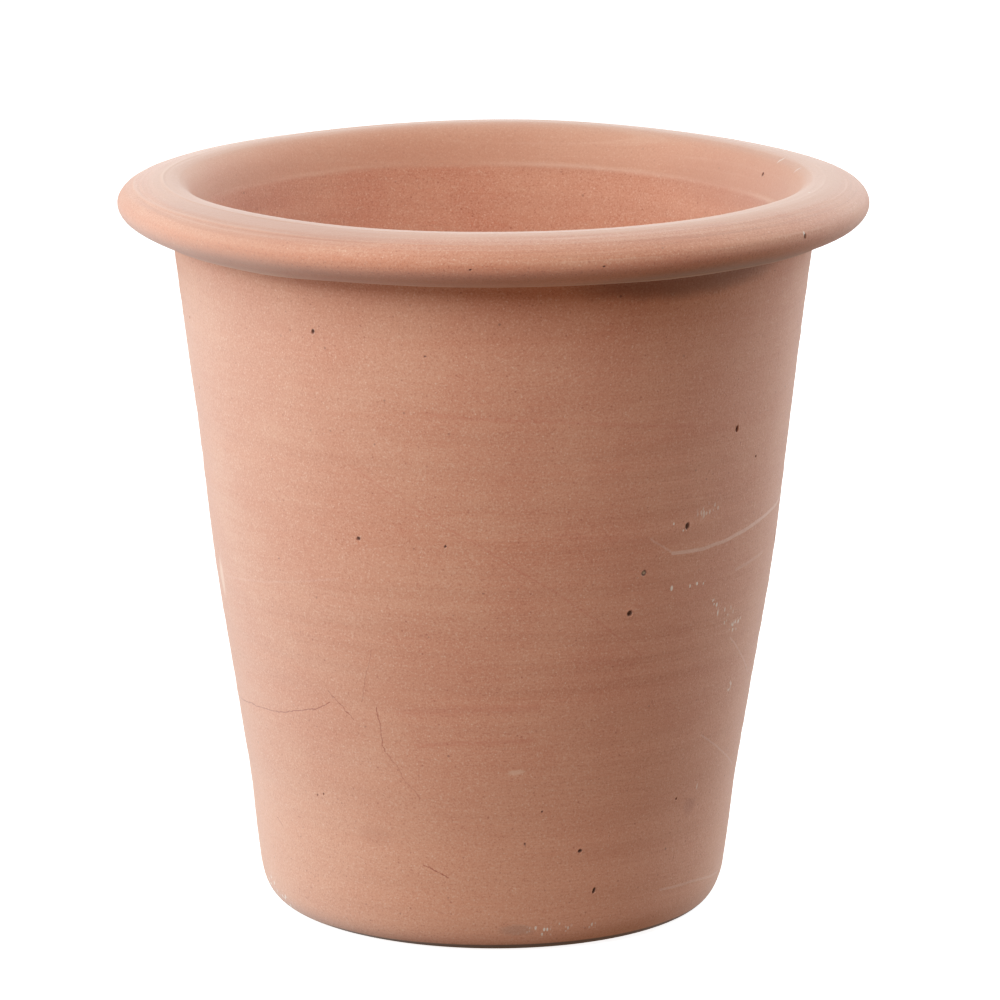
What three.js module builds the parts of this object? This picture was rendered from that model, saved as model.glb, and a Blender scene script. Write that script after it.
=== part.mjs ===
// A thrown terracotta flower pot, in millimetres. +Z is up, and the origin is the centre of the foot, on the ground.
// The pot is one piece of fired clay: floor, tapering wall and rolled rim are turned from a single lump on the
// wheel, so the whole object is one revolved solid with a drainage hole through its floor.
import * as THREE from "three";

// Overall sizes.
const potHeight = 297; // ground to the crest of the rim
const rimDiameter = 300; // across the outermost ring of the rim
const footDiameter = 186; // where the wall's taper meets the ground, before the edge is rounded

// Clay thicknesses.
const neckWallThickness = 11; // just under the rim
const footWallThickness = 13; // just above the floor
const floorThickness = 14;

// The rolled rim. Insets are measured inwards from the outermost ring.
const rimOverhang = 21.5; // from the neck out to the outermost ring
const rimDepth = 20; // from the crest down to the underside
const noseDrop = 9.6; // from the crest down to the outermost ring
const crestInset = 20.5;
const undersideInset = 18;
const shoulderRise = 6.8; // how far the nose runs straight up before it leans over
const shoulderReach = 9.1; // how far the crest runs level before it slopes out
const undersideReach = 8.2; // how far the underside runs level before it curves out
const noseFall = 6; // how far the nose runs straight down before it curls under
const neckFillet = 5; // the hollow where the underside meets the wall

// The mouth: the inside of the rim flares out from the wall to a narrow lip.
const lipReach = 8; // how far the crest runs level towards the mouth
const flareDepth = 18; // from the crest down to where the flare leaves the straight wall
const flareReach = 12; // how far the straight wall carries on before it bends outwards

// The wall, the foot and the floor.
const wallBulge = 1.8; // how far the wall stands out from a straight taper at half height
const footEdgeWidth = 10; // rounded outer edge of the foot, across and up
const footEdgeHeight = 15;
const floorCorner = 16; // hollow corner between the floor and the wall, inside
const drainHoleDiameter = 26;
const drainHoleChamfer = 1.5;

// Facets of the revolved solid.
const turnSteps = 72;
const wallSteps = 6;
const curveSteps = 6;
const filletSteps = 3;

const fullTurn = 2 * Math.PI;
const noseRadius = rimDiameter / 2;
const neckRadius = noseRadius - rimOverhang;
const crestRadius = noseRadius - crestInset;
const undersideRadius = noseRadius - undersideInset;
const undersideHeight = potHeight - rimDepth;
const noseHeight = potHeight - noseDrop;
const flareHeight = potHeight - flareDepth;
const footRadius = footDiameter / 2;
const drainRadius = drainHoleDiameter / 2;

const at = (radius, height) => new THREE.Vector2(radius, height);

// Radius of the outside of the wall on its straight taper, which runs from the ground to the rim's underside.
function taperRadius(height) {
  return footRadius + ((neckRadius - footRadius) * height) / undersideHeight;
}

// Thickness of the wall, which grows evenly from the rim down to the floor.
function wallThickness(height) {
  const share = (undersideHeight - height) / (undersideHeight - floorThickness);
  return neckWallThickness + (footWallThickness - neckWallThickness) * share;
}

// Radius of the inside of the wall on the same taper.
function boreRadius(height) {
  return taperRadius(height) - wallThickness(height);
}

// A gently bowed line from start to end: the control point lies out by twice the bulge that shows.
function bowedLine(start, end) {
  const middle = start.clone().add(end).multiplyScalar(0.5);
  return new THREE.QuadraticBezierCurve(start, middle.setX(middle.x + 2 * wallBulge), end);
}

// The foot: out along the ground, round the edge and up on to the wall.
function footCurves() {
  const edgeStart = at(footRadius - footEdgeWidth, 0);
  const edgeEnd = at(taperRadius(footEdgeHeight), footEdgeHeight);
  return [
    [new THREE.LineCurve(at(drainRadius + drainHoleChamfer, 0), edgeStart), 1],
    [new THREE.QuadraticBezierCurve(edgeStart, at(footRadius, 0), edgeEnd), curveSteps],
  ];
}

// The outside: up the wall, out through the hollow of the neck to the underside of the rim.
function outsideCurves() {
  const wallTop = at(taperRadius(undersideHeight - neckFillet), undersideHeight - neckFillet);
  const underside = at(undersideRadius, undersideHeight);
  const neckCorner = at(neckRadius, undersideHeight);
  return [
    [bowedLine(at(taperRadius(footEdgeHeight), footEdgeHeight), wallTop), wallSteps],
    [new THREE.QuadraticBezierCurve(wallTop, neckCorner, underside), filletSteps],
  ];
}

// The rim: from its underside round the nose, and over the shoulder to the crest.
function rimCurves() {
  const underside = at(undersideRadius, undersideHeight);
  const nose = at(noseRadius, noseHeight);
  const crest = at(crestRadius, potHeight);
  const curlsOut = at(undersideRadius + undersideReach, undersideHeight);
  const risesToNose = at(noseRadius, noseHeight - noseFall);
  const leavesNose = at(noseRadius, noseHeight + shoulderRise);
  const meetsCrest = at(crestRadius + shoulderReach, potHeight);
  return [
    [new THREE.CubicBezierCurve(underside, curlsOut, risesToNose, nose), curveSteps],
    [new THREE.CubicBezierCurve(nose, leavesNose, meetsCrest, crest), curveSteps],
  ];
}

// The mouth: from the crest over the lip and down the flare to the inside of the wall.
function mouthCurves() {
  const crest = at(crestRadius, potHeight);
  const overLip = at(crestRadius - lipReach, potHeight);
  const aboveWall = at(boreRadius(flareHeight + flareReach), flareHeight + flareReach);
  const wallTop = at(boreRadius(flareHeight), flareHeight);
  return [[new THREE.CubicBezierCurve(crest, overLip, aboveWall, wallTop), curveSteps]];
}

// The inside: down the wall, round the hollow corner and in across the floor.
function insideCurves() {
  const wallFoot = at(boreRadius(floorThickness + floorCorner), floorThickness + floorCorner);
  const corner = at(boreRadius(floorThickness), floorThickness);
  const floorEdge = at(corner.x - floorCorner, floorThickness);
  const holeEdge = at(drainRadius + drainHoleChamfer, floorThickness);
  return [
    [bowedLine(at(boreRadius(flareHeight), flareHeight), wallFoot), wallSteps],
    [new THREE.QuadraticBezierCurve(wallFoot, corner, floorEdge), curveSteps],
    [new THREE.LineCurve(floorEdge, holeEdge), 1],
  ];
}

// The drainage hole: a straight hole with a narrow chamfer at each end.
function drainCurves() {
  const above = at(drainRadius, floorThickness - drainHoleChamfer);
  const below = at(drainRadius, drainHoleChamfer);
  return [
    [new THREE.LineCurve(at(drainRadius + drainHoleChamfer, floorThickness), above), 1],
    [new THREE.LineCurve(above, below), 1],
    [new THREE.LineCurve(below, at(drainRadius + drainHoleChamfer, 0)), 1],
  ];
}

// The closed outline of the clay on one side of the axis. Each curve starts where the last one ended.
function potOutline() {
  const curves = [
    ...footCurves(),
    ...outsideCurves(),
    ...rimCurves(),
    ...mouthCurves(),
    ...insideCurves(),
    ...drainCurves(),
  ];
  const first = curves[0][0].getPoint(0);
  return [first, ...curves.flatMap(([curve, steps]) => curve.getPoints(steps).slice(1))];
}

// A lathe turns about +Y, so the solid is tipped up to turn about +Z.
function potGeometry() {
  return new THREE.LatheGeometry(potOutline(), turnSteps, 0, fullTurn).rotateX(Math.PI / 2);
}

const firedClay = new THREE.MeshStandardMaterial({ color: 0xc08468, roughness: 0.92, metalness: 0 });

const pot = new THREE.Mesh(potGeometry(), firedClay);
pot.name = "pot";

const terracottaPot = new THREE.Group();
terracottaPot.add(pot);

export default terracottaPot;
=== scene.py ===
"""A thrown terracotta flower pot on a pale studio floor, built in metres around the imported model."""

import logging
import math
import random
from collections.abc import Callable
from dataclasses import dataclass
from enum import Enum

import bmesh
import bpy
from mathutils import Matrix, Vector, noise
from mathutils.geometry import interpolate_bezier


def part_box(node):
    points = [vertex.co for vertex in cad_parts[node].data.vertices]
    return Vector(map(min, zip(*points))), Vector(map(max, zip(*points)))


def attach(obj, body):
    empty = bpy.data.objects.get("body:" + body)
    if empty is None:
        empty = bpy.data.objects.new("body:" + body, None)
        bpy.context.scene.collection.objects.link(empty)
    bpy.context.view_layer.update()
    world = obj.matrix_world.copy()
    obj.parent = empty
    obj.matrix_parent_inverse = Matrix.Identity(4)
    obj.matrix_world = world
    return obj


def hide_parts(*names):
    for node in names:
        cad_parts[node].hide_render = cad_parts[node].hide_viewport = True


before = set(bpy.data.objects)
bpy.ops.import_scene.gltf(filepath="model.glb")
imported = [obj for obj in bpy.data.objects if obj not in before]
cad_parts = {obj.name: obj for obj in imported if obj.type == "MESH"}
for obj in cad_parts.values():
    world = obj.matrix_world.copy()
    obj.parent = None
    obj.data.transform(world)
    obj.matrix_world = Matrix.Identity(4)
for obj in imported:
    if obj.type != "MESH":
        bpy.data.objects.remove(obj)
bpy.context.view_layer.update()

MM = 0.001
FULL_TURN = 2 * math.pi
MEAN_RADIUS = 110 * MM

log = logging.getLogger("pot")


def blend(low: float, high: float, value: float) -> float:
    """Eases from 0 at low to 1 at high.

    Args:
        low: Where the blend starts.
        high: Where it is complete.
        value: The place asked about.

    Returns:
        A share from 0 to 1.
    """
    share = min(max((value - low) / (high - low), 0.0), 1.0)
    return share * share * (3 - 2 * share)


def swell(value: float, middle: float, reach: float) -> float:
    """Returns a round hump that is 1 at its middle and has faded away a couple of reaches from it."""
    return math.exp(-(((value - middle) / reach) ** 2))


def at(radius: float, height: float) -> Vector:
    """Returns a point, or a step, in the plane of the pot's section."""
    return Vector((radius, 0, height))


# ---------------------------------------------------------------- shader maths


class Signal:
    """A socket in a material, which Python's operators turn into Math and Vector Math nodes."""

    def __init__(self, bench: "ShaderBench", socket: bpy.types.NodeSocket) -> None:
        """Wraps a socket.

        Args:
            bench: The material that the socket belongs to.
            socket: An output socket.
        """
        self.bench = bench
        self.socket = socket

    def _math(self, operation: str, *values: "Signal | float", clamp: bool = False) -> "Signal":
        """Adds a Math node and returns its output."""
        settings = {"operation": operation, "use_clamp": clamp}
        return self.bench.node("ShaderNodeMath", settings, dict(enumerate(values)))

    def __add__(self, other: "Signal | float") -> "Signal":
        """Adds."""
        return self._math("ADD", self, other)

    def __sub__(self, other: "Signal | float") -> "Signal":
        """Subtracts."""
        return self._math("SUBTRACT", self, other)

    def __rsub__(self, other: float) -> "Signal":
        """Subtracts this from a number."""
        return self._math("SUBTRACT", other, self)

    def __mul__(self, other: "Signal | float") -> "Signal":
        """Multiplies."""
        return self._math("MULTIPLY", self, other)

    __radd__ = __add__
    __rmul__ = __mul__

    def clamped(self) -> "Signal":
        """Returns the value held between 0 and 1."""
        return self._math("MULTIPLY", self, 1.0, clamp=True)

    def larger(self, other: "Signal | float") -> "Signal":
        """Returns the larger of two values."""
        return self._math("MAXIMUM", self, other)

    def angle_from(self, other: "Signal") -> "Signal":
        """Returns the angle whose tangent is this over another value."""
        return self._math("ARCTAN2", self, other)

    def ramp(self, start: float, end: float) -> "Signal":
        """Eases the value from 0 to 1.

        Args:
            start: Where it is still 0; this may be the larger of the two.
            end: Where it has reached 1.

        Returns:
            A value from 0 to 1.
        """
        settings = {"interpolation_type": "SMOOTHSTEP", "clamp": True}
        flipped = start > end
        low, high = (end, start) if flipped else (start, end)
        ends = {"From Min": low, "From Max": high, "To Min": float(flipped), "To Max": float(not flipped)}
        return self.bench.node("ShaderNodeMapRange", settings, {"Value": self, **ends})

    def vector(
        self, operation: str, *others: "Signal | tuple[float, ...]", output: str = "Vector"
    ) -> "Signal":
        """Adds a Vector Math node.

        Args:
            operation: The node's operation.
            others: Its second and later inputs.
            output: The name of the output that is wanted.

        Returns:
            That output.
        """
        inputs = dict(enumerate((self, *others)))
        return self.bench.node("ShaderNodeVectorMath", {"operation": operation}, inputs, output)


class ShaderBench:
    """Where one material's nodes are made and joined."""

    def __init__(self, name: str) -> None:
        """Starts an empty node material.

        Args:
            name: The material's name.
        """
        self.material = bpy.data.materials.new(name)
        self.material.use_nodes = True
        self.tree = self.material.node_tree
        self.tree.nodes.clear()

    def node(
        self,
        kind: str,
        settings: dict[str, object] | None = None,
        inputs: dict[str | int, object] | None = None,
        output: str | int = 0,
    ) -> Signal:
        """Adds one node.

        Args:
            kind: The node's type.
            settings: Its properties, which are set before its sockets are.
            inputs: Values or signals, by the socket's name or place.
            output: The output that is wanted, by name or place.

        Returns:
            That output.
        """
        made = self.tree.nodes.new(kind)
        for key, value in (settings or {}).items():
            setattr(made, key, value)
        for key, value in (inputs or {}).items():
            if isinstance(value, Signal):
                self.tree.links.new(value.socket, made.inputs[key])
            else:
                made.inputs[key].default_value = value
        return Signal(self, made.outputs[output]) if made.outputs else None

    def split(self, kind: str, whole: Signal) -> tuple[Signal, Signal, Signal]:
        """Returns the three parts of a vector or a colour.

        Args:
            kind: The node that takes it apart.
            whole: The vector or colour.

        Returns:
            Its three parts.
        """
        outputs = self.node(kind, inputs={0: whole}).socket.node.outputs
        return tuple(Signal(self, outputs[place]) for place in range(3))

    def stretched(self, place: Signal, stretch: tuple[float, float, float]) -> Signal:
        """Returns the coordinates multiplied by a stretch on each axis."""
        return place.vector("MULTIPLY", stretch)

    def grain(self, place: Signal, scale: float, detail: float = 2.0, rough: float = 0.5) -> Signal:
        """Returns cloudy noise, centred near 0.5.

        Args:
            place: The coordinates.
            scale: Lumps to a metre.
            detail: Extra octaves.
            rough: How strong each extra octave is.

        Returns:
            A value that is mostly between 0.2 and 0.8.
        """
        values = {"Vector": place, "Scale": scale, "Detail": detail, "Roughness": rough}
        return self.node("ShaderNodeTexNoise", inputs=values)

    def cells(self, place: Signal, scale: float, output: str) -> Signal:
        """Returns one output of a Voronoi pattern with so many cells to a metre."""
        return self.node("ShaderNodeTexVoronoi", inputs={"Vector": place, "Scale": scale}, output=output)

    def tint(self, share: Signal | float, first: Signal | tuple, second: Signal | tuple) -> Signal:
        """Mixes two colours.

        Args:
            share: How much of the second colour to use.
            first: The first colour.
            second: The second colour.

        Returns:
            The mixed colour.
        """
        return self.node("ShaderNodeMix", {"data_type": "RGBA"}, {0: share, 6: first, 7: second}, 2)


def paint(red: float, green: float, blue: float) -> tuple[float, float, float, float]:
    """Turns a colour given as screen values into the linear values that a shader takes.

    Args:
        red: Red, from 0 to 255.
        green: Green, from 0 to 255.
        blue: Blue, from 0 to 255.

    Returns:
        The linear colour with a solid alpha.
    """

    def linear(value: float) -> float:
        """Undoes the sRGB curve, which is straight near black and a power above that."""
        share = value / 255
        return share / 12.92 if share <= 0.04045 else ((share + 0.055) / 1.055) ** 2.4

    return (linear(red), linear(green), linear(blue), 1.0)


# ---------------------------------------------------------------- marks on the clay


class Mark(Enum):
    """What a line drawn on the wall is."""

    CRACK = "crack"
    SCRATCH = "scratch"
    RED_STREAK = "red streak"


@dataclass(frozen=True)
class Line:
    """A mark that follows points on the outside of the wall.

    Attributes:
        mark: What kind of mark it is.
        points: Its points, each an angle in degrees round from the front and a height in millimetres.
        width: Half its width.
        strength: How plainly it shows, from 0 to 1.
    """

    mark: Mark
    points: tuple[tuple[float, float], ...]
    width: float
    strength: float


@dataclass(frozen=True)
class Patch:
    """A round or oval stain, smear or cluster on the clay.

    Attributes:
        azimuth: Degrees round from the front.
        height: Height of its middle in millimetres; on top of the rim, its distance from the axis.
        across: Half its width in millimetres.
        up: Half its height in millimetres.
        strength: How plainly it shows, from 0 to 1.
    """

    azimuth: float
    height: float
    across: float
    up: float
    strength: float


@dataclass(frozen=True)
class Pit:
    """A small hollow where a bit of grit or lime burst out.

    Attributes:
        seat: Its middle, on the surface.
        outward: The surface's direction there.
        width: Half its width.
        depth: How deep it goes.
        stretch: How many times longer than wide it is.
        lean: Which way the long side runs, in radians from level.
    """

    seat: Vector
    outward: Vector
    width: float
    depth: float
    stretch: float = 1.0
    lean: float = 0.0

    def near(self, place: Vector) -> float:
        """Measures how far a place is from the middle.

        Args:
            place: The place asked about.

        Returns:
            The distance as a share of the pit's own size.
        """
        away = place - self.seat
        level = Vector((0, 0, 1)).cross(self.outward)
        level = level.normalized() if level.length > 1e-6 else Vector((1, 0, 0))
        rise = self.outward.cross(level)
        across = away.dot(level) * math.cos(self.lean) + away.dot(rise) * math.sin(self.lean)
        along = away.dot(rise) * math.cos(self.lean) - away.dot(level) * math.sin(self.lean)
        through = away.dot(self.outward)
        ragged = 1 + 0.12 * noise.noise(place / (1.2 * MM))
        return Vector((across / self.stretch, along, through * 0.5)).length / (self.width * ragged)


@dataclass(frozen=True)
class Wobble:
    """One way in which the fired rim is out of true: a wave that goes so many times round.

    Attributes:
        waves: How many waves go round the pot.
        sine: Its height where it starts at the front.
        cosine: Its height where it peaks at the front.
    """

    waves: int
    sine: float
    cosine: float

    def at(self, azimuth: float) -> float:
        """Returns the shift at an angle from the front."""
        turn = self.waves * azimuth
        return self.sine * math.sin(turn) + self.cosine * math.cos(turn)


@dataclass(frozen=True)
class Span:
    """One stretch of the pot's section: a cubic curve cut into even steps."""

    start: Vector
    leave: Vector
    arrive: Vector
    end: Vector
    steps: int

    @classmethod
    def straight(cls, start: Vector, end: Vector, steps: int) -> "Span":
        """Returns a straight stretch."""
        return cls(start, start.lerp(end, 1 / 3), start.lerp(end, 2 / 3), end, steps)

    @classmethod
    def round_corner(cls, start: Vector, corner: Vector, end: Vector, steps: int) -> "Span":
        """Returns a stretch that rounds a corner."""
        return cls(start, start.lerp(corner, 2 / 3), end.lerp(corner, 2 / 3), end, steps)

    def points(self) -> list[Vector]:
        """Returns the points after the start, up to and with the end."""
        return interpolate_bezier(self.start, self.leave, self.arrive, self.end, self.steps + 1)[1:]


# ---------------------------------------------------------------- the clay's finish


@dataclass(frozen=True)
class Spot:
    """Where the point being shaded lies on the pot, in metres and radians.

    Attributes:
        place: Object coordinates.
        radius: Distance from the axis.
        height: Height above the ground.
        azimuth: Angle round from the front; right is positive.
        turned: Coordinates that change slowly round the pot and fast across the marks left by turning it.
    """

    place: Signal
    radius: Signal
    height: Signal
    azimuth: Signal
    turned: Signal

    @classmethod
    def on(cls, bench: ShaderBench) -> "Spot":
        """Finds the spot for one material.

        Args:
            bench: The material.

        Returns:
            The spot.
        """
        place = bench.node("ShaderNodeTexCoord", output="Object")
        right, back, height = bench.split("ShaderNodeSeparateXYZ", place)
        flat = place.vector("MULTIPLY", (1, 1, 0))
        radius = flat.vector("LENGTH", output="Value")
        ring = flat.vector("NORMALIZE").vector("MULTIPLY", (MEAN_RADIUS, MEAN_RADIUS, 0))
        rise = bench.node("ShaderNodeCombineXYZ", inputs={2: height - radius})
        return cls(place, radius, height, right.angle_from(back * -1.0), ring.vector("ADD", rise))

    def shaken(self, bench: ShaderBench, ragged: float, sway: float) -> tuple[Signal, Signal]:
        """Returns the angle and height, shaken so that a line drawn with them isn't ruled.

        Args:
            bench: The material.
            ragged: How far fine noise moves them.
            sway: How far broad noise moves them.

        Returns:
            The shaken angle and height.
        """
        fine = (bench.grain(self.place, 420.0, 3.0, 0.7) - 0.5) * ragged
        broad = (bench.grain(self.place, 90.0, 2.0) - 0.5) * sway
        shift = fine + broad
        return self.azimuth + shift * (1 / MEAN_RADIUS), self.height + shift


@dataclass(frozen=True)
class FiredClay:
    """Unglazed terracotta: a sandy skin, turning streaks, lime and grit, and the knocks of a workshop.

    Attributes:
        radius_at: Gives the outer wall's radius at a height, so that marks keep their length round it.
        rim_radius: Radius of the rim's outermost ring.
        nose_height: Height of that ring.
        lines: Cracks, scratches and streaks.
        lime: Clusters of fine white lime crumbs.
        flecks: Single lime flecks.
        stains: Grey stains where the clay was wet.
        blots: Rusty blots.
        scrapes: Pale scraped places.
        grit: Bits of stone still sitting in their pits.
        lip_flecks: Lime on top of the rim, where a patch's height is its distance from the axis.
        painted_lip_shade: Painted shade on top of the rim at the front left, measured in the same way.
        painted_inner_shade: Painted shade on the inside of the wall towards the back right.
        painted_under_rim_shade: Painted shade on the outside wall just under the rim, at the front right.
        shine: The bare clay's slight gloss.
        dust: How much pale dust shows at a slant.
    """

    radius_at: Callable[[float], float]
    rim_radius: float
    nose_height: float
    lines: tuple[Line, ...]
    lime: tuple[Patch, ...]
    flecks: tuple[Patch, ...]
    stains: tuple[Patch, ...]
    blots: tuple[Patch, ...]
    scrapes: tuple[Patch, ...]
    grit: tuple[Patch, ...]
    lip_flecks: tuple[Patch, ...]
    painted_lip_shade: tuple[Patch, ...]
    painted_inner_shade: tuple[Patch, ...]
    painted_under_rim_shade: tuple[Patch, ...]
    name: str = "fired_clay"
    shine: float = 0.4
    dust: float = 0.43
    stone: tuple = paint(186, 160, 132)
    body: tuple = paint(204, 129, 99)
    warm: tuple = paint(197, 115, 83)
    tan: tuple = paint(214, 147, 116)
    pale: tuple = paint(232, 184, 158)
    chalk: tuple = paint(232, 190, 174)
    white: tuple = paint(244, 230, 218)
    peach: tuple = paint(222, 150, 117)
    red: tuple = paint(186, 92, 66)
    beige: tuple = paint(206, 148, 120)
    umber: tuple = paint(172, 108, 84)
    rust: tuple = paint(146, 62, 38)
    grey: tuple = paint(130, 110, 100)
    dark: tuple = paint(60, 34, 26)

    def make(self) -> bpy.types.Material:
        """Builds the material.

        Returns:
            The finished material.
        """
        bench = ShaderBench(self.name)
        spot = Spot.on(bench)
        colour = self._ground(bench, spot)
        colour = self._dress_rim(bench, spot, colour)
        colour = self._draw_marks(bench, spot, colour)
        # Pales the fine ridges as wear, and paints a highlight along the bead under the rim.
        ridge_wear_and_highlight = bench.node("ShaderNodeAttribute", {"attribute_name": "ridge_wear_and_highlight"}, output="Fac")
        colour = bench.tint((ridge_wear_and_highlight * 0.4).clamped(), colour, self.pale)
        # Darkens each pit: painted shade in the hollow.
        hollow = bench.node("ShaderNodeAttribute", {"attribute_name": "hollow"}, output="Fac")
        colour = bench.tint((hollow * 0.85).clamped(), colour, self.dark)
        colour = self._stamp(bench, colour, self.grit, (spot.azimuth, spot.height), self.stone)
        bump_inputs = {"Strength": 0.55, "Distance": 0.25 * MM, "Height": self._relief(bench, spot)}
        shader_inputs = {
            "Base Color": colour,
            "Roughness": bench.grain(spot.place, 300.0, 3.0) * 0.16 + 0.78,
            "Normal": bench.node("ShaderNodeBump", inputs=bump_inputs, output="Normal"),
            "Specular IOR Level": self.shine,
            "Sheen Weight": self.dust,
            "Sheen Roughness": 0.6,
            "Sheen Tint": (1.0, 0.93, 0.88, 1.0),
        }
        shader = bench.node("ShaderNodeBsdfPrincipled", inputs=shader_inputs)
        bench.node("ShaderNodeOutputMaterial", inputs={"Surface": shader})
        return bench.material

    def _ground(self, bench: ShaderBench, spot: Spot) -> Signal:
        """Colours the bare clay: mottling, streaks left by turning, and the sand in the body, with painted
        light that makes it paler towards the foot.

        Args:
            bench: The material.
            spot: Where the shaded point is.

        Returns:
            The clay's colour.
        """
        place = spot.place
        mottle = bench.grain(place, 26.0, 3.0, 0.55).ramp(0.38, 0.66)
        colour = bench.tint(mottle * 0.5, self.body, self.tan)
        bands = bench.grain(bench.stretched(spot.turned, (5.0, 5.0, 95.0)), 1.0, 4.0, 0.6).ramp(0.48, 0.72)
        colour = bench.tint(bands * 0.45, colour, self.warm)
        lines = bench.grain(bench.stretched(spot.turned, (16.0, 16.0, 620.0)), 1.0, 3.0, 0.65).ramp(0.35, 0.7)
        colour = bench.tint(lines * 0.28, colour, self.warm)
        cloud = bench.grain(place, 120.0, 3.0, 0.6).ramp(0.35, 0.7)
        colour = bench.tint(cloud * 0.15, colour, self.tan)
        # Painted light: the wall grows paler towards the foot, standing in for light bounced up off the
        # floor.
        foot = spot.height.ramp(0.45 * self.nose_height, 0.0)
        colour = bench.tint(foot * 0.5, colour, self.peach)
        sand = bench.grain(place, 1300.0, 3.0, 0.75)
        colour = bench.tint(sand.ramp(0.5, 0.7) * 0.5, colour, self.pale)
        colour = bench.tint(sand.ramp(0.47, 0.3) * 0.46, colour, self.rust)
        colour = self._specks(bench, place, colour, 850.0, 0.93, 0.5, self.pale)
        colour = self._specks(bench, place, colour, 620.0, 0.965, 0.45, self.rust)
        return self._specks(bench, place, colour, 520.0, 0.993, 0.7, self.dark)

    def _dress_rim(self, bench: ShaderBench, spot: Spot, under: Signal) -> Signal:
        """Gives the rim a smooth pale slip on top and a redder, sandier face below its nose.

        Args:
            bench: The material.
            spot: Where the shaded point is.
            under: The clay's colour.

        Returns:
            The colour with the rim's own look.
        """
        edge = (bench.grain(spot.place, 60.0, 2.0) - 0.5) * (5 * MM)
        out = spot.radius.ramp(self.rim_radius - 14 * MM, self.rim_radius - 9 * MM)
        face = out * (spot.height + edge).ramp(self.nose_height + 2.5 * MM, self.nose_height)
        above = out * (spot.height + edge).ramp(self.nose_height + 1 * MM, self.nose_height + 4 * MM)
        mouth = (1 - out) * spot.height.ramp(self.nose_height - 8 * MM, self.nose_height - 5 * MM)
        colour = bench.tint(mouth * 0.5, under, self.beige)
        sweeps = bench.grain(bench.stretched(spot.turned, (9.0, 9.0, 420.0)), 1.0, 3.0, 0.7)
        colour = bench.tint(mouth * sweeps.ramp(0.55, 0.75) * 0.2, colour, self.pale)
        colour = bench.tint(above * sweeps.ramp(0.52, 0.3) * 0.4, colour, self.umber)
        colour = bench.tint(above * sweeps.ramp(0.56, 0.7) * 0.35, colour, self.pale)
        colour = bench.tint(face * 0.25, colour, self.warm)
        sand = bench.grain(spot.place, 900.0, 3.0, 0.8)
        colour = bench.tint(face * sand.ramp(0.4, 0.58) * 0.5, colour, self.warm)
        colour = bench.tint(face * sand.ramp(0.46, 0.34) * 0.5, colour, self.rust)
        return bench.tint(face * sand.ramp(0.58, 0.7) * 0.5, colour, self.pale)

    def _specks(
        self,
        bench: ShaderBench,
        place: Signal,
        under: Signal,
        scale: float,
        rarity: float,
        strength: float,
        ink: tuple,
    ) -> Signal:
        """Scatters round specks over a colour.

        Args:
            bench: The material.
            place: Object coordinates.
            under: The colour beneath.
            scale: Cells to a metre; each cell may hold one speck.
            rarity: The share of cells left empty.
            strength: How plainly a speck shows.
            ink: The specks' colour.

        Returns:
            The speckled colour.
        """
        gap = bench.cells(place, scale, "Distance")
        lot = bench.split("ShaderNodeSeparateColor", bench.cells(place, scale, "Color"))[0]
        chosen = lot.ramp(rarity, rarity + 0.01)
        return bench.tint(gap.ramp(0.34, 0.2) * chosen * strength, under, ink)

    def _draw_marks(self, bench: ShaderBench, spot: Spot, under: Signal) -> Signal:
        """Draws every mark that is listed for the pot, with the painted shades listed among them, and a
        painted contact shadow where its foot meets the ground.

        Args:
            bench: The material.
            spot: Where the shaded point is.
            under: The clay's colour.

        Returns:
            The marked colour.
        """
        slope = 0.128
        outside = (spot.radius - spot.height * slope).ramp(88 * MM, 90 * MM)
        broken = bench.grain(spot.place, 300.0, 2.0).ramp(0.25, 0.5) * 0.3 + 0.7
        ragged = spot.shaken(bench, 1.8 * MM, 3.0 * MM)
        smooth = spot.shaken(bench, 0.15 * MM, 1.0 * MM)
        looks = {
            Mark.CRACK: (self.rust, ragged, 0.3, outside),
            Mark.SCRATCH: (self.chalk, smooth, 0.5, outside * broken),
            Mark.RED_STREAK: (self.red, smooth, 0.0, outside),
        }
        colour = under
        for line in self.lines:
            ink, where, core, share = looks[line.mark]
            mask = self._follow(bench, line, where, core)
            colour = bench.tint(mask * share * line.strength, colour, ink)
        for patches, ink in ((self.blots, self.rust), (self.stains, self.grey), (self.scrapes, self.pale)):
            colour = self._stamp(bench, colour, patches, ragged, ink)
        # Painted shade under the rim's overhang, on the outside at the front right.
        colour = self._stamp(bench, colour, self.painted_under_rim_shade, ragged, self.dark, outside)
        # Painted shade on the inside of the wall towards the back right.
        colour = self._stamp(bench, colour, self.painted_inner_shade, ragged, self.umber, 1 - outside)
        tall = bench.stretched(spot.place, (1.0, 1.0, 0.5))
        lot = bench.split("ShaderNodeSeparateColor", bench.cells(tall, 850.0, "Color"))[0]
        crumbs = bench.cells(tall, 850.0, "Distance").ramp(0.5, 0.32) * lot.ramp(0.6, 0.64) * outside
        colour = self._stamp(bench, colour, self.lime, ragged, self.white, crumbs)
        colour = self._stamp(bench, colour, self.flecks, (spot.azimuth, spot.height), self.white, outside)
        top = spot.height.ramp(self.nose_height - 8 * MM, self.nose_height - 6 * MM)
        on_top = (spot.azimuth, spot.radius)
        # Painted shade on top of the rim at the front left.
        colour = self._stamp(bench, colour, self.painted_lip_shade, on_top, self.umber, top)
        colour = self._stamp(bench, colour, self.lip_flecks, on_top, self.white, top)
        # Painted contact shadow: a dark line along the bottom edge of the foot on the front and right,
        # reaching higher towards the front right.
        toward = spot.place.vector("DOT_PRODUCT", (0.5, -0.87, 0), output="Value")
        edge = spot.radius.ramp(self.radius_at(0) - 8 * MM, self.radius_at(0) - 6 * MM)
        shift = toward.ramp(40 * MM, 85 * MM) * (0.9 * MM)
        painted_contact_shadow = (spot.height - shift).ramp(2.9 * MM, 2.1 * MM) * edge * toward.ramp(8 * MM, 30 * MM)
        return bench.tint(painted_contact_shadow * 0.93, colour, self.dark)

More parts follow.
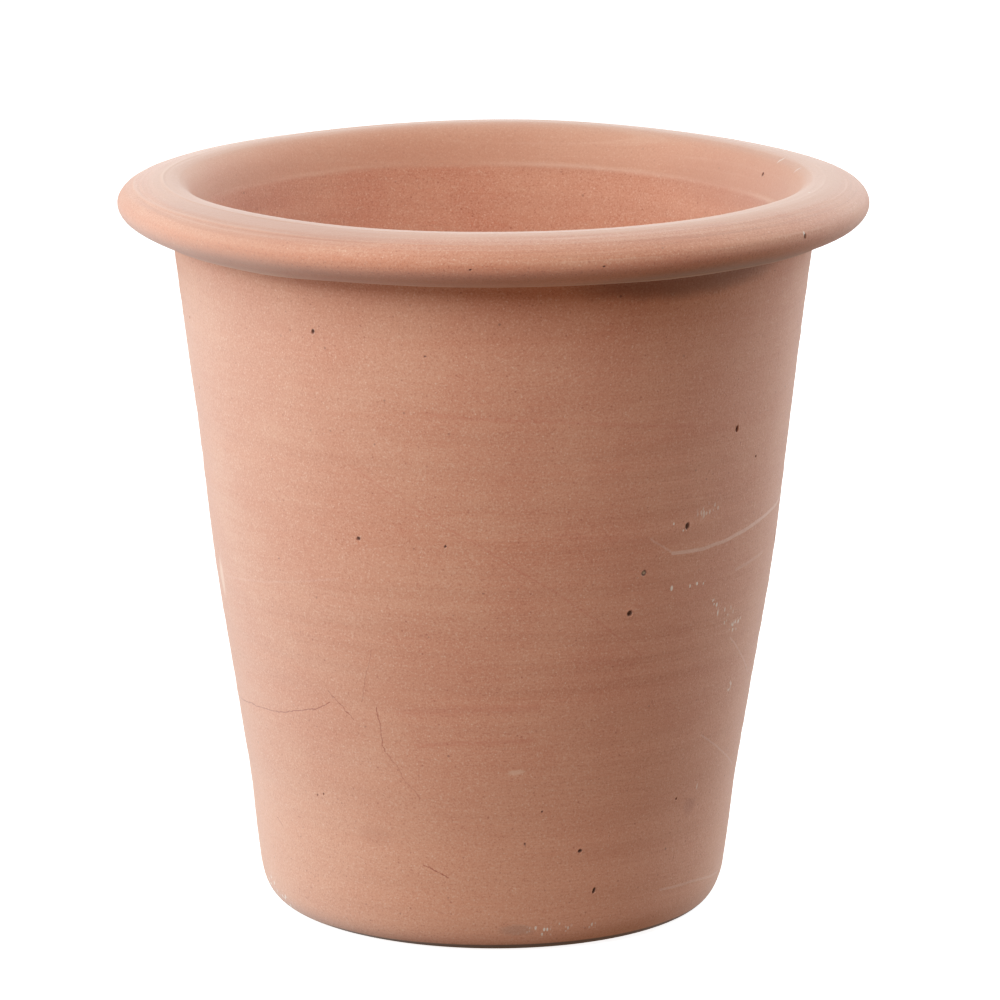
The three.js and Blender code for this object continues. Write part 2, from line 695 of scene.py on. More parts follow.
    def _follow(self, bench: ShaderBench, line: Line, where: tuple[Signal, Signal], core: float) -> Signal:
        """Returns 1 on a line and 0 away from it, measured on the unrolled wall.

        Args:
            bench: The material.
            line: The line.
            where: The angle and height of the shaded point.
            core: The share of the width that is at full strength.

        Returns:
            The line's mask.
        """
        azimuth, height = where
        radius = self.radius_at(line.points[0][1] * MM)
        here = bench.node("ShaderNodeCombineXYZ", inputs={0: azimuth * radius, 1: height})
        joints = [Vector((math.radians(turn) * radius, rise * MM, 0)) for turn, rise in line.points]
        mask = None
        for start, end in zip(joints, joints[1:]):
            run = end - start
            away = here.vector("SUBTRACT", tuple(start))
            share = away.vector("DOT_PRODUCT", tuple(run / run.length_squared), output="Value").clamped()
            step = {0: tuple(run), 3: share}
            spot_on_line = bench.node("ShaderNodeVectorMath", {"operation": "SCALE"}, step)
            gap = away.vector("DISTANCE", spot_on_line, output="Value")
            stroke = gap.ramp(line.width, line.width * core)
            mask = stroke if mask is None else mask.larger(stroke)
        return mask

    def _stamp(
        self,
        bench: ShaderBench,
        under: Signal,
        patches: tuple[Patch, ...],
        where: tuple[Signal, Signal],
        ink: tuple,
        screen: Signal | None = None,
    ) -> Signal:
        """Lays oval patches of one colour over the clay.

        Args:
            bench: The material.
            under: The colour beneath.
            patches: Where they go.
            where: The angle and height to measure them with.
            ink: Their colour.
            screen: A pattern that breaks them up, if any.

        Returns:
            The colour with the patches on it.
        """
        azimuth, height = where
        colour = under
        for patch in patches:
            radius = self.radius_at(patch.height * MM)
            sideways = (azimuth - math.radians(patch.azimuth)) * (radius / (patch.across * MM))
            upright = (height - patch.height * MM) * (1 / (patch.up * MM))
            mask = (sideways * sideways + upright * upright).ramp(1.0, 0.1) * patch.strength
            colour = bench.tint(mask if screen is None else mask * screen, colour, ink)
        return colour

    def _relief(self, bench: ShaderBench, spot: Spot) -> Signal:
        """Makes the sandy skin: grains, pinholes and fine turning lines.

        Args:
            bench: The material.
            spot: Where the shaded point is.

        Returns:
            The skin's height, for a bump.
        """
        place = spot.place
        sand = bench.grain(place, 1400.0, 3.0, 0.7)
        lumps = bench.grain(place, 420.0, 3.0, 0.6)
        lines = bench.grain(bench.stretched(spot.turned, (30.0, 30.0, 900.0)), 1.0, 3.0, 0.6)
        pinholes = bench.cells(place, 520.0, "Distance").ramp(0.0, 0.16)
        return sand * 0.5 + lumps * 0.6 + lines * 0.7 + pinholes * 0.25


# ---------------------------------------------------------------- the pot


@dataclass
class ThrownPot:
    """The pot: one lump of clay, turned, with a rim rolled outwards and a hole through its floor."""

    height: float
    rim_radius: float
    name: str = "thrown_pot"

    # Section, as the pot is thrown.
    foot_radius: float = 93 * MM
    neck_wall: float = 11 * MM
    foot_wall: float = 13 * MM
    floor: float = 14 * MM
    rim_overhang: float = 21.5 * MM
    rim_depth: float = 20 * MM
    nose_drop: float = 9.6 * MM
    nose_fall: float = 6.0 * MM
    crest_inset: float = 20.5 * MM
    underside_inset: float = 18 * MM
    underside_reach: float = 8.2 * MM
    shoulder_rise: float = 6.8 * MM
    shoulder_reach: float = 9.1 * MM
    neck_fillet: float = 5 * MM
    lip_reach: float = 8 * MM
    flare_depth: float = 18 * MM
    flare_reach: float = 12 * MM
    foot_edge_width: float = 10 * MM
    foot_edge_height: float = 15 * MM
    floor_corner: float = 16 * MM
    hole_radius: float = 13 * MM
    hole_edge: float = 1.5 * MM

    # How finely the clay is cut up.
    turn_steps: int = 160
    wall_steps: int = 130
    bore_steps: int = 84
    curve_steps: int = 22
    floor_steps: int = 40

    # What the hands left.
    belly: float = 1.8 * MM
    waist: float = 0.6 * MM
    outer_rings: float = 0.16 * MM
    inner_rings: float = 0.4 * MM
    unevenness: float = 0.5 * MM
    ridges: float = 0.4 * MM
    lift: tuple[Wobble, ...] = (
        Wobble(1, 1.3 * MM, 0),
        Wobble(2, 0.4 * MM, 0.9 * MM),
        Wobble(3, 0.1 * MM, -0.5 * MM),
        Wobble(4, 0, 0.2 * MM),
    )
    spread: tuple[Wobble, ...] = (Wobble(2, 1.5 * MM, -0.7 * MM), Wobble(3, 0.7 * MM, 1.5 * MM))
    hole_spread: tuple[Wobble, ...] = (Wobble(2, 0.3 * MM, 0.2 * MM), Wobble(3, 0.2 * MM, -0.1 * MM))
    wire_depth: float = 0.35 * MM
    wire_step: float = 8 * MM
    stray_pits: int = 34
    seed: int = 7

    @property
    def under_rim(self) -> float:
        """Height of the rim's underside."""
        return self.height - self.rim_depth

    def taper(self, height: float) -> float:
        """Returns the outer wall's radius on its straight taper."""
        neck = self.rim_radius - self.rim_overhang
        return self.foot_radius + (neck - self.foot_radius) * height / self.under_rim

    def bore(self, height: float) -> float:
        """Returns the inner wall's radius on the same taper."""
        share = (self.under_rim - height) / (self.under_rim - self.floor)
        return self.taper(height) - self.neck_wall - (self.foot_wall - self.neck_wall) * share

    def outside(self, height: float) -> float:
        """Returns the outer wall's radius with its belly and waist."""
        return self.taper(height) + self.bow(height)

    def bow(self, height: float) -> float:
        """Measures how far the wall stands out from its straight taper.

        Args:
            height: The height asked about.

        Returns:
            A distance outwards, which is below 0 at the waist.
        """
        belly = self.belly * swell(height, 0.5 * self.height, 0.22 * self.height)
        waist = self.waist * swell(height, 0.17 * self.height, 0.06 * self.height)
        return belly - waist

    def outline(self) -> list[Vector]:
        """Returns the closed section of the clay on the right of the axis."""
        return [point for span in self._outer_spans() + self._inner_spans() for point in span.points()]

    def _outer_spans(self) -> list[Span]:
        """Draws the section from the drainage hole, under the foot and up the outside to the crest.

        Returns:
            Its stretches, in order.
        """
        mouth_of_hole = at(self.hole_radius + self.hole_edge, 0)
        foot_start = at(self.foot_radius - self.foot_edge_width, 0)
        foot_end = at(self.taper(self.foot_edge_height), self.foot_edge_height)
        wall_top = at(self.taper(self.under_rim - self.neck_fillet), self.under_rim - self.neck_fillet)
        neck = at(self.rim_radius - self.rim_overhang, self.under_rim)
        underside = at(self.rim_radius - self.underside_inset, self.under_rim)
        curls_out = underside + at(self.underside_reach, 0)
        nose = at(self.rim_radius, self.height - self.nose_drop)
        leaves_nose = nose + at(0, self.shoulder_rise)
        crest = at(self.rim_radius - self.crest_inset, self.height)
        meets_crest = crest + at(self.shoulder_reach, 0)
        return [
            Span.straight(mouth_of_hole, foot_start, self.floor_steps),
            Span.round_corner(foot_start, at(self.foot_radius, 0), foot_end, self.curve_steps),
            Span.straight(foot_end, wall_top, self.wall_steps),
            Span.round_corner(wall_top, neck, underside, self.curve_steps // 2),
            Span(underside, curls_out, nose - at(0, self.nose_fall), nose, self.curve_steps),
            Span(nose, leaves_nose, meets_crest, crest, self.curve_steps * 2),
        ]

    def _inner_spans(self) -> list[Span]:
        """Draws the section from the crest, over the lip, down the inside and through the drainage hole.

        Returns:
            Its stretches, in order.
        """
        crest = at(self.rim_radius - self.crest_inset, self.height)
        flare = self.height - self.flare_depth
        flare_end = at(self.bore(flare), flare)
        bends_out = at(self.bore(flare + self.flare_reach), flare + self.flare_reach)
        wall_foot = at(self.bore(self.floor + self.floor_corner), self.floor + self.floor_corner)
        corner = at(self.bore(self.floor), self.floor)
        floor_edge = corner - at(self.floor_corner, 0)
        above = at(self.hole_radius + self.hole_edge, self.floor)
        hole_top = at(self.hole_radius, self.floor - self.hole_edge)
        hole_bottom = at(self.hole_radius, self.hole_edge)
        below = at(self.hole_radius + self.hole_edge, 0)
        return [
            Span(crest, crest - at(self.lip_reach, 0), bends_out, flare_end, self.curve_steps),
            Span.straight(flare_end, wall_foot, self.bore_steps),
            Span.round_corner(wall_foot, corner, floor_edge, self.curve_steps // 2),
            Span.straight(floor_edge, above, self.floor_steps),
            Span.round_corner(above, at(self.hole_radius, self.floor), hole_top, 4),
            Span.straight(hole_top, hole_bottom, 4),
            Span.round_corner(hole_bottom, at(self.hole_radius, 0), below, 4),
        ]

    def throw(self) -> bmesh.types.BMesh:
        """Turns the section once round the axis.

        Returns:
            The closed solid of clay.
        """
        clay = bmesh.new()
        verts = [clay.verts.new(point) for point in self.outline()]
        edges = [clay.edges.new(pair) for pair in zip(verts, verts[1:] + verts[:1])]
        turn = {"cent": (0, 0, 0), "axis": (0, 0, 1), "dvec": (0, 0, 0), "angle": FULL_TURN}
        bmesh.ops.spin(clay, geom=verts + edges, steps=self.turn_steps, use_merge=True, **turn)
        bmesh.ops.remove_doubles(clay, verts=clay.verts, dist=0.01 * MM)
        bmesh.ops.recalc_face_normals(clay, faces=clay.faces)
        return clay

    def pit_at(
        self,
        azimuth: float,
        radius: float,
        height: float,
        tilt: float,
        width: float,
        depth: float,
        stretch: float,
        lean: float,
    ) -> Pit:
        """Places a pit anywhere on the clay.

        Args:
            azimuth: Degrees round from the front.
            radius: Distance from the axis in millimetres.
            height: Height in millimetres.
            tilt: Degrees that the surface there looks up from straight outwards; 180 looks inwards.
            width: Half its width in millimetres.
            depth: Depth in millimetres.
            stretch: Length over width.
            lean: Degrees from level that its long side leans.

        Returns:
            The pit.
        """
        turn = math.radians(azimuth)
        rise = math.radians(tilt)
        radial = Vector((math.sin(turn), -math.cos(turn), 0))
        outward = radial * math.cos(rise) + Vector((0, 0, math.sin(rise)))
        seat = radial * (radius * MM) + Vector((0, 0, height * MM))
        return Pit(seat, outward, width * MM, depth * MM, stretch, math.radians(lean))

    def wall_pit(
        self,
        azimuth: float,
        height: float,
        width: float,
        depth: float,
        stretch: float = 1.0,
        lean: float = 0.0,
        inside: bool = False,
    ) -> Pit:
        """Places a pit on the wall, outside or inside, with the same sizes as pit_at."""
        reach = self.bore(height * MM) if inside else self.taper(height * MM)
        return self.pit_at(azimuth, reach / MM, height, 180 if inside else 0, width, depth, stretch, lean)

    def pits(self) -> list[Pit]:
        """Lists the pits.

        Returns:
            The ones that have a set place, then strays round the sides and the back.
        """
        front = [
            self.wall_pit(-34.6, 254, 0.75, 1.0, 1.5, 70),
            self.wall_pit(-26.8, 172, 0.75, 0.8, 1.2, 20),
            self.wall_pit(28.1, 141.5, 1.25, 1.1),
            self.wall_pit(40.2, 174, 1.15, 0.7, 1.25, 80),
            self.wall_pit(30.6, 157.5, 1.15, 0.4, 1.1, 80),
            self.wall_pit(-43.8, 59.6, 0.35, 0.4, 1.6, 80),
            self.wall_pit(-41.8, 60.7, 0.35, 0.4, 1.8, 75),
            self.wall_pit(51.9, 209, 0.85, 1.1, 1.7, 80),
            self.wall_pit(20.7, 42.5, 0.8, 0.9, 1.2),
            self.wall_pit(24.8, 25, 0.7, 0.8, 2.0, 75),
            self.wall_pit(46.9, 57.5, 0.5, 0.6),
            self.wall_pit(60, 195, 0.5, 0.7),
            self.wall_pit(-9.2, 171.5, 0.5, 0.6, 1.2, 40),
            self.wall_pit(11.2, 60.5, 0.45, 0.5),
            self.wall_pit(7.5, 47, 0.45, 0.5),
            self.wall_pit(-12.3, 247.5, 0.4, 0.4, 1.5, 10),
            self.pit_at(115, 119.9, 289.5, -170, 0.7, 0.8, 1.3, 60),
            self.pit_at(52.5, 149.9, 288, 0, 0.7, 0.9, 1.4, 80),
            self.pit_at(15.8, 149.8, 286.3, -10, 0.4, 0.4, 1.3, 20),
            self.pit_at(-3.5, 149.8, 286.3, -10, 0.4, 0.4, 1.5, 30),
        ]
        dice = random.Random(self.seed)
        strays = []
        for _ in range(self.stray_pits):
            inside = dice.random() < 0.35
            azimuth = dice.uniform(75, 285)
            height = dice.uniform(40, 230 if inside else 255)
            width = dice.uniform(0.35, 0.9)
            stretch = dice.uniform(1.0, 1.8)
            lean = dice.uniform(0, 90)
            strays.append(self.wall_pit(azimuth, height, width, width * 1.1, stretch, lean, inside))
        return front + strays

    def refine(self, clay: bmesh.types.BMesh, pits: list[Pit]) -> None:
        """Cuts the faces round each pit finer, in two rounds, so that the pit is a real hollow.

        Args:
            clay: The thrown clay.
            pits: Where it has to be fine.
        """
        self._cut_round(clay, pits, reach=3.2 * MM, cuts=3, hoops_only=True)
        self._cut_round(clay, pits, reach=0.9 * MM, cuts=4, hoops_only=False)

    def _cut_round(
        self, clay: bmesh.types.BMesh, pits: list[Pit], reach: float, cuts: int, hoops_only: bool
    ) -> None:
        """Cuts the edges near the pits.

        Args:
            clay: The clay.
            pits: The pits.
            reach: How far past a pit's own edge to cut.
            cuts: How many cuts each edge gets.
            hoops_only: Whether to cut only the edges that run round the pot.
        """
        edges = set()
        for face in clay.faces:
            middle = face.calc_center_median()
            if any((middle - pit.seat).length < pit.width * pit.stretch + reach for pit in pits):
                edges.update(face.edges)
        if hoops_only:
            edges = {edge for edge in edges if self._is_hoop(edge)}
        bmesh.ops.subdivide_edges(clay, edges=list(edges), cuts=cuts, use_grid_fill=True)

    @staticmethod
    def _is_hoop(edge: bmesh.types.BMEdge) -> bool:
        """Returns whether an edge runs round the pot, with both ends at one height and one radius."""
        first, second = (vert.co for vert in edge.verts)
        return abs(first.z - second.z) + abs(first.xy.length - second.xy.length) < 0.01 * MM

    def true_up(self, clay: bmesh.types.BMesh) -> None:
        """Moves every point out to the true circle, because cuts made across a facet lie on its chord."""
        sector = FULL_TURN / self.turn_steps
        for vert in clay.verts:
            phase = math.atan2(vert.co.y, vert.co.x) % sector - sector / 2
            swing = math.cos(phase) / math.cos(sector / 2)
            vert.co.x *= swing
            vert.co.y *= swing

    def dig(self, clay: bmesh.types.BMesh, pits: list[Pit]) -> None:
        """Sinks the pits and notes in each point how hollow it is there.

        Args:
            clay: The refined clay.
            pits: The pits.
        """
        hollow = clay.verts.layers.float.new("hollow")
        for vert in clay.verts:
            for pit in pits:
                if (vert.co - pit.seat).length > 3.2 * pit.width * pit.stretch:
                    continue
                near = pit.near(vert.co)
                lip = 0.1 * swell(near, 1.3, 0.3)
                vert.co += pit.outward * (lip - blend(1.05, 0.45, near)) * pit.depth
                # This share darkens the pit in the material, as painted shade.
                vert[hollow] = max(vert[hollow], blend(1.15, 0.75, near))
                break

    def relief(self, place: Vector, normal: Vector) -> float:
        """Returns how far the turner's fingers left a point of the surface from its plain shape.

        Args:
            place: The point.
            normal: The surface's direction there.

        Returns:
            A distance along the normal.
        """
        if normal.z < -0.9 and place.z < self.foot_edge_height:
            return self.wire_cut(place)
        radius = math.hypot(place.x, place.y)
        radial = Vector((place.x, place.y, 0)) / max(radius, MM)
        azimuth = math.atan2(place.x, -place.y)
        along = place.z - radius
        inside = normal.dot(radial) < -0.3 or normal.z > 0.5 and place.z < 0.5 * self.height
        grounded = blend(0, 8 * MM, place.z)
        ringed = noise.noise(Vector((radial.x * 1.1, radial.y * 1.1, along / (5 * MM))))
        lift = self.unevenness * noise.noise(place / (55 * MM))
        if inside:
            spiral = math.sin(FULL_TURN * along / (11 * MM) + azimuth)
            lift += self.inner_rings * (0.6 * ringed + 0.3 * spiral)
        else:
            lift += self.outer_rings * ringed
            lift += self.bow(place.z) * blend(self.under_rim, self.under_rim - 3 * self.neck_fillet, place.z)
        return lift * grounded

    def wire_cut(self, place: Vector) -> float:
        """Returns how far the wire that cut the pot free of the wheel moved a point of its underside.

        Args:
            place: A point under the foot.

        Returns:
            A distance along the normal, which is below 0 in a groove.
        """
        radius = place.xy.length
        foot_edge = self.foot_radius - self.foot_edge_width
        full_depth = self.foot_radius - 2 * self.foot_edge_width
        clear = blend(foot_edge, full_depth, radius)
        clear *= blend(self.hole_radius + self.hole_edge, self.hole_radius + 5 * MM, radius)
        pull = (place.xy - Vector((-0.9, -0.6)) * self.foot_radius).length
        pull += 2 * MM * noise.noise(place / (25 * MM))
        groove = 0.5 + 0.5 * math.sin(FULL_TURN * pull / self.wire_step)
        return -self.wire_depth * clear * (groove * groove + 0.3)

    def ridge(self, place: Vector, normal: Vector) -> float:
        """Returns how plainly one of the fine ridges round the rim and the mouth stands at a point.

        Args:
            place: A point of the surface.
            normal: The surface's direction there.

        Returns:
            A share from 0 to 1.
        """
        if place.z < self.under_rim - self.neck_fillet:
            return 0.0
        radius = math.hypot(place.x, place.y)
        azimuth = math.atan2(place.x, -place.y)
        uneven = 0.75 + 0.5 * noise.noise(Vector((place.x, place.y, 0)) / (40 * MM))
        leftward = 0.5 - 0.5 * math.sin(azimuth)
        # The bead under the rim gets a raised value, which also paints a highlight along it.
        if normal.z < -0.4:
            return 2.0 * uneven * swell(radius, self.rim_radius - 12.2 * MM, 1.0 * MM)
        if radius < self.bore(self.height) + 1.5 * MM:
            drift = 0.8 * MM * math.sin(2 * azimuth)
            return 1.1 * uneven * swell(place.z, self.height - 16 * MM + drift, 0.5 * MM)
        crest = (0.35 + 0.65 * leftward) * swell(radius, self.rim_radius - 18 * MM, 0.5 * MM)
        shoulder = (0.2 + 0.7 * leftward) * swell(radius, self.rim_radius - 6.5 * MM, 0.45 * MM)
        return uneven * max(crest, shoulder) if normal.z > 0.2 else 0.0

    def work(self, clay: bmesh.types.BMesh, skin: list[Vector]) -> None:
        """Adds what hands and fire did: rings, a belly, an uneven wall and a rim slightly out of true.

        Args:
            clay: The clay with its pits dug.
            skin: The direction of the smooth surface at each point, as it was before the pits were dug.
        """
        ridge_wear_and_highlight = clay.verts.layers.float.new("ridge_wear_and_highlight")
        for vert, normal in zip(clay.verts, skin):
            place = vert.co.copy()
            vert[ridge_wear_and_highlight] = self.ridge(place, normal)
            azimuth = math.atan2(place.x, -place.y)
            radial = Vector((place.x, place.y, 0)).normalized()
            share = blend(0.45 * self.height, self.under_rim, place.z)
            vert.co += normal * (self.relief(place, normal) + self.ridges * vert[ridge_wear_and_highlight])
            vert.co += radial * share * sum(wave.at(azimuth) for wave in self.spread)
            near_hole = blend(self.hole_radius + 7 * MM, self.hole_radius + self.hole_edge, place.xy.length)
            vert.co += radial * near_hole * sum(wave.at(azimuth) for wave in self.hole_spread)
            vert.co.z += share * sum(wave.at(azimuth) for wave in self.lift)

    def build(self, finish: bpy.types.Material) -> bpy.types.Object:
        """Makes the finished pot.

        Args:
            finish: The clay's material.

        Returns:
            The pot's object.
        """
        pits = self.pits()
        clay = self.throw()
        self.refine(clay, pits)
        self.true_up(clay)
        clay.normal_update()
        skin = [vert.normal.copy() for vert in clay.verts]
        self.dig(clay, pits)
        self.work(clay, skin)
        for face in clay.faces:
            face.smooth = True
        mesh = bpy.data.meshes.new(self.name)
        clay.to_mesh(mesh)
        clay.free()
        mesh.materials.append(finish)
        pot = bpy.data.objects.new(self.name, mesh)
        bpy.context.scene.collection.objects.link(pot)
        return pot


# ---------------------------------------------------------------- the studio


@dataclass(frozen=True)
class SoftBox:
    """A soft square light that looks at the middle of the pot.

    Attributes:
        name: Its name.
        azimuth: Degrees round from the front; right is positive.
        elevation: Degrees above level.
        watts: Its power.
        distance: How far away it stands.
        size: The length of its sides.
        colour: The colour of its lamp.
    """

    name: str
    azimuth: float
    elevation: float
    watts: float
    distance: float = 1.8
    size: float = 1.0
    colour: tuple[float, float, float] = (0.84, 0.95, 1.0)

    def hang(self, aim: Vector) -> bpy.types.Object:
        """Makes the light.

        Args:
            aim: The point that it looks at.

        Returns:
            The light's object.
        """
        turn = math.radians(self.azimuth)
        rise = math.radians(self.elevation)
        away = Vector((math.sin(turn) * math.cos(rise), -math.cos(turn) * math.cos(rise), math.sin(rise)))
        data = bpy.data.lights.new(self.name, "AREA")
        data.shape = "SQUARE"
        data.size = self.size
        data.energy = self.watts
        data.color = self.colour
        light = bpy.data.objects.new(self.name, data)
        light.visible_camera = False
        light.location = aim + away * self.distance
        light.rotation_euler = away.to_track_quat("Z", "Y").to_euler()
        bpy.context.scene.collection.objects.link(light)
        return light


@dataclass(frozen=True)
class Studio:
    """A pale floor, soft lights and a long lens, set out round the pot."""

    aim: Vector
    distance: float = 2.4
    pitch: float = 12.893
    roll: float = 0.273
    lens: float = 213.05
    floor_size: float = 60.0
    floor_glow: float = 0.95
    sky: float = 0.2
    sky_colour: tuple[float, float, float, float] = (1.0, 0.74, 0.54, 1.0)
    film_shoulder: float = 2.0
    boxes: tuple[SoftBox, ...] = (
        SoftBox("key", -30, 40, 22.8),
        SoftBox("left", -90, 12, 20.4),
        SoftBox("rear_left", -120, 12, 15.4),
        SoftBox("right", 120, 12, 13.0),
        SoftBox("rear_right", 150, 12, 12.8),
        SoftBox("high_right", 120, 40, 9.0),
    )

    def lay_floor(self) -> bpy.types.Object:
        """Lays the pale floor that the pot stands on; it glows, but throws no light back at the pot.

        Returns:
            The floor's object.
        """
        grid = bmesh.new()
        bmesh.ops.create_grid(grid, x_segments=1, y_segments=1, size=self.floor_size / 2)
        mesh = bpy.data.meshes.new("studio_floor")
        grid.to_mesh(mesh)
        grid.free()
        bench = ShaderBench("pale_floor")
        pale = paint(245, 245, 245)
        look = {
            "Base Color": pale,
            "Roughness": 0.9,
            "Emission Color": pale,
            "Emission Strength": self.floor_glow,
        }
        shader = bench.node("ShaderNodeBsdfPrincipled", inputs=look)
        bench.node("ShaderNodeOutputMaterial", inputs={"Surface": shader})
        mesh.materials.append(bench.material)
        floor = bpy.data.objects.new("studio_floor", mesh)
        floor.visible_diffuse = False
        floor.visible_glossy = False
        bpy.context.scene.collection.objects.link(floor)
        return floor

    def set_camera(self) -> bpy.types.Object:
        """Sets up the camera in front of the pot, looking slightly down.

        Returns:
            The camera's object.
        """
        pitch = math.radians(self.pitch)
        roll = math.radians(self.roll)
        forward = Vector((0, math.cos(pitch), -math.sin(pitch)))
        level = Vector((1, 0, 0))
        upright = Vector((0, math.sin(pitch), math.cos(pitch)))
        right = level * math.cos(roll) + upright * math.sin(roll)
        up = upright * math.cos(roll) - level * math.sin(roll)
        data = bpy.data.cameras.new("camera")
        data.lens = self.lens
        data.sensor_width = 36
        data.dof.use_dof = False
        camera = bpy.data.objects.new("camera", data)
        stand = Matrix.Translation(self.aim - forward * self.distance)
        facing = Matrix((right, up, -forward)).transposed().to_4x4()
        camera.matrix_world = stand @ facing
        bpy.context.scene.collection.objects.link(camera)
        bpy.context.scene.camera = camera
        return camera

    def fill_sky(self) -> None:
        """Gives the room the warm light that comes back off its walls."""
        world = bpy.data.worlds.new("studio")
        world.use_nodes = True
        backdrop = world.node_tree.nodes["Background"]
        backdrop.inputs["Color"].default_value = self.sky_colour
        backdrop.inputs["Strength"].default_value = self.sky
        bpy.context.scene.world = world

    def load_film(self) -> None:
        """Gives the picture a film's gentle shoulder: paler lights and richer shadows."""
        view = bpy.context.scene.view_settings
        view.view_transform = "Standard"
        view.use_curve_mapping = True
        response = view.curve_mapping.curves[3]
        for light in (0.1, 0.25, 0.5, 0.75):
            response.points.new(light, light * (1 + self.film_shoulder) / (light + self.film_shoulder))
        view.curve_mapping.update()

    def set_up(self) -> None:
        """Makes the floor, the camera, the sky, the film and the lights."""
        self.lay_floor()
        self.set_camera()
        self.fill_sky()
        self.load_film()
        for box in self.boxes:
            box.hang(self.aim)


# ---------------------------------------------------------------- putting it together


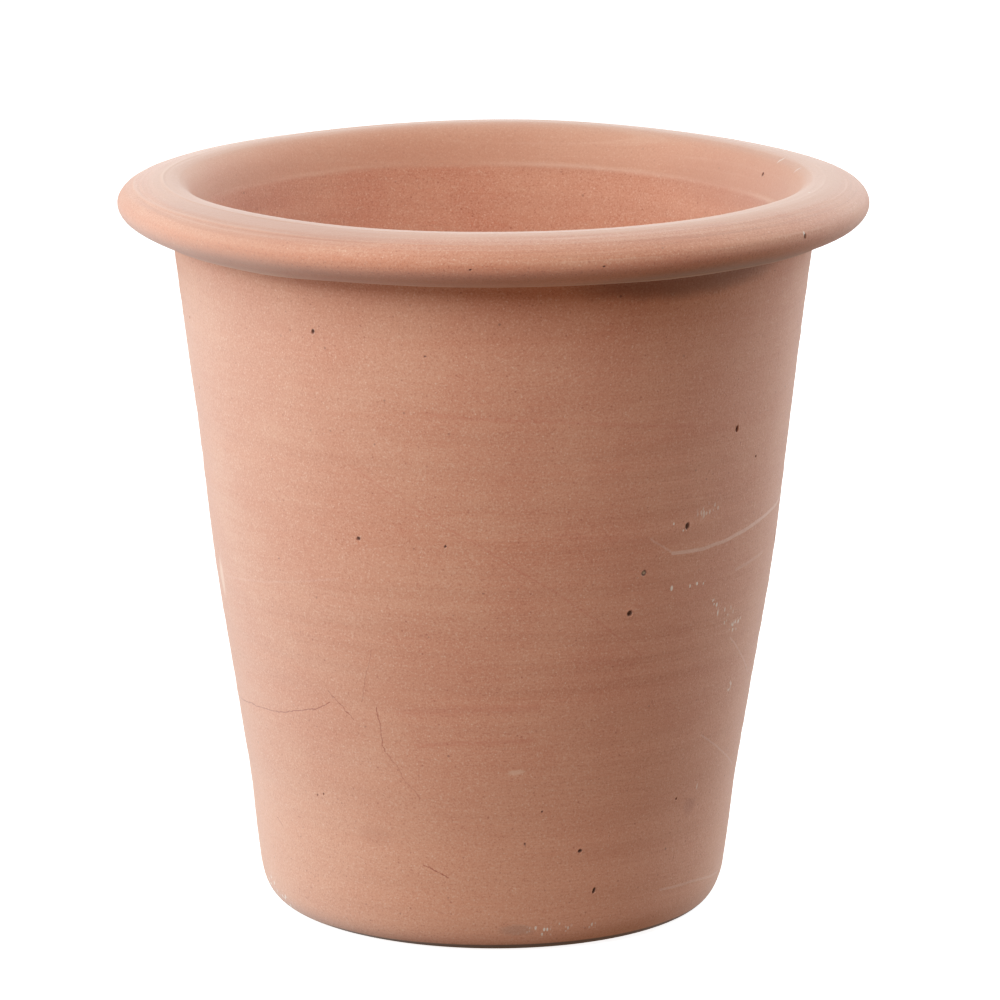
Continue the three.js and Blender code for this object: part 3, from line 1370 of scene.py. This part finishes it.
def clay_finish(pot: ThrownPot) -> FiredClay:
    """Lists the marks on this pot's wall and rim.

    Args:
        pot: The pot that wears them.

    Returns:
        Its finish.
    """
    lines = (
        Line(Mark.CRACK, ((-80, 86), (-64, 89), (-54, 91), (-41, 97), (-37, 101)), 0.3 * MM, 0.8),
        Line(Mark.CRACK, ((-37, 106), (-31, 95.5)), 0.3 * MM, 0.75),
        Line(Mark.CRACK, ((-25.3, 102), (-24, 84)), 0.3 * MM, 0.75),
        Line(Mark.CRACK, ((-24, 84), (-16.5, 65)), 0.28 * MM, 0.4),
        Line(Mark.CRACK, ((-25.5, 126), (-28.5, 104)), 0.28 * MM, 0.4),
        Line(Mark.CRACK, ((-16, 37), (-10, 33)), 0.32 * MM, 0.8),
        Line(Mark.CRACK, ((-62, 42.5), (-59.5, 39.5)), 0.32 * MM, 0.7),
        Line(
            Mark.SCRATCH,
            ((37, 163.6), (45, 163), (52, 164), (58, 165.5), (70, 168), (84, 170)),
            1.0 * MM,
            0.6,
        ),
        Line(Mark.SCRATCH, ((31.5, 171.5), (37, 163.6)), 0.5 * MM, 0.3),
        Line(Mark.SCRATCH, ((57.5, 150), (70, 152)), 1.0 * MM, 0.22),
        Line(Mark.SCRATCH, ((59, 121), (74, 100)), 0.5 * MM, 0.3),
        Line(Mark.SCRATCH, ((52.6, 82.5), (75, 60)), 0.5 * MM, 0.3),
        Line(Mark.SCRATCH, ((44.5, 19.6), (56.5, 18.4), (76, 14)), 0.7 * MM, 0.35),
        Line(Mark.SCRATCH, ((-72, 140), (-52, 146), (-32, 154)), 0.6 * MM, 0.1),
        Line(
            Mark.RED_STREAK,
            ((-27, 200), (-21.9, 193.7), (-4.5, 174.2), (13.2, 151.2), (31.7, 123)),
            0.7 * MM,
            0.3,
        ),
        Line(Mark.RED_STREAK, ((-12, 224.3), (12, 222), (39, 215.3)), 1.4 * MM, 0.22),
        Line(Mark.RED_STREAK, ((-20, 101), (-5, 104), (9, 105)), 3.2 * MM, 0.22),
        Line(Mark.RED_STREAK, ((-16, 88), (-5, 90), (8, 91)), 1.6 * MM, 0.25),
        Line(Mark.RED_STREAK, ((12, 176), (26, 172), (38, 168)), 2.0 * MM, 0.15),
        Line(Mark.RED_STREAK, ((16, 124), (30, 120)), 2.2 * MM, 0.15),
    )
    lime = (
        Patch(51, 138, 6, 3, 1.0),
        Patch(57, 131, 5, 5, 1.0),
        Patch(61, 126, 7, 3, 1.0),
        Patch(46, 178, 10, 4, 0.5),
        Patch(44.5, 148.5, 6, 1.2, 1.0),
        Patch(62, 99, 3, 3, 0.8),
        Patch(-72, 9, 9, 7, 1.0),
        Patch(-64, 5.5, 7, 5, 1.0),
        Patch(14, 10, 12, 3, 0.9),
        Patch(26, 10, 6, 2, 0.7),
    )
    flecks = (
        Patch(37.7, 149.2, 0.8, 1.4, 1.0),
        Patch(42.6, 148.6, 0.5, 1.0, 0.95),
        Patch(44.5, 149.0, 0.5, 0.9, 0.9),
        Patch(46.5, 148.3, 0.5, 0.7, 0.8),
        Patch(52.5, 134.0, 0.5, 1.7, 0.9),
        Patch(55.0, 134.3, 0.5, 1.2, 0.8),
        Patch(36.7, 176.0, 0.5, 0.7, 0.9),
        Patch(39.2, 172.6, 0.5, 0.7, 0.7),
        Patch(54.5, 60.0, 0.5, 1.8, 0.5),
        Patch(52.3, 290.6, 0.5, 1.2, 0.95),
    )
    lip_flecks = (
        Patch(84, 120, 0.5, 1.2, 0.9),
        Patch(82, 121.5, 0.4, 0.8, 0.8),
        Patch(71, 130.6, 0.6, 0.6, 0.8),
        Patch(112, 125.6, 0.7, 2.2, 0.5),
        Patch(101.5, 124.7, 0.6, 2.0, 0.5),
    )
    return FiredClay(
        radius_at=pot.outside,
        rim_radius=pot.rim_radius,
        nose_height=pot.height - pot.nose_drop,
        lines=lines,
        lime=lime,
        flecks=flecks,
        stains=(Patch(6, 10, 9, 3, 0.3),),
        blots=(Patch(-28, 47, 10, 5, 0.13), Patch(52.6, 52.7, 5, 5, 0.3)),
        scrapes=(Patch(-76, 138, 4, 10, 0.8), Patch(5, 77.4, 4, 1.3, 0.5)),
        grit=(Patch(30.6, 157.5, 0.8, 0.75, 1.0), Patch(28.2, 141.6, 0.35, 0.35, 0.25)),
        lip_flecks=lip_flecks,
        # Painted shade on top of the rim at the front left.
        painted_lip_shade=(Patch(-42, 136, 70, 14, 0.5),),
        # Painted shade inside towards the back right.
        painted_inner_shade=(Patch(115, 283, 78, 18, 0.42),),
        # Painted shade under the rim at the front right.
        painted_under_rim_shade=(Patch(36, 276, 62, 10, 0.5),),
    )


def main() -> None:
    """Builds the pot and the studio, attaching the pot to the root body in place of the imported part."""
    low, high = (Vector(corner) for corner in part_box("pot"))
    pot = ThrownPot(height=high.z - low.z, rim_radius=(high.x - low.x) / 2)
    piece = pot.build(clay_finish(pot).make())
    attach(piece, "root")
    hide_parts("pot")
    log.info("%s: %d faces", piece.name, len(piece.data.polygons))
    aim_right = 2.4 * MM
    aim_height = 0.551 * pot.height
    studio = Studio(aim=Vector((aim_right, 0, aim_height)))
    studio.set_up()
    log.info("studio: %d lights", len(studio.boxes))


if __name__ == "__main__":
    logging.basicConfig(level=logging.INFO, format="%(name)s: %(message)s")
    main()
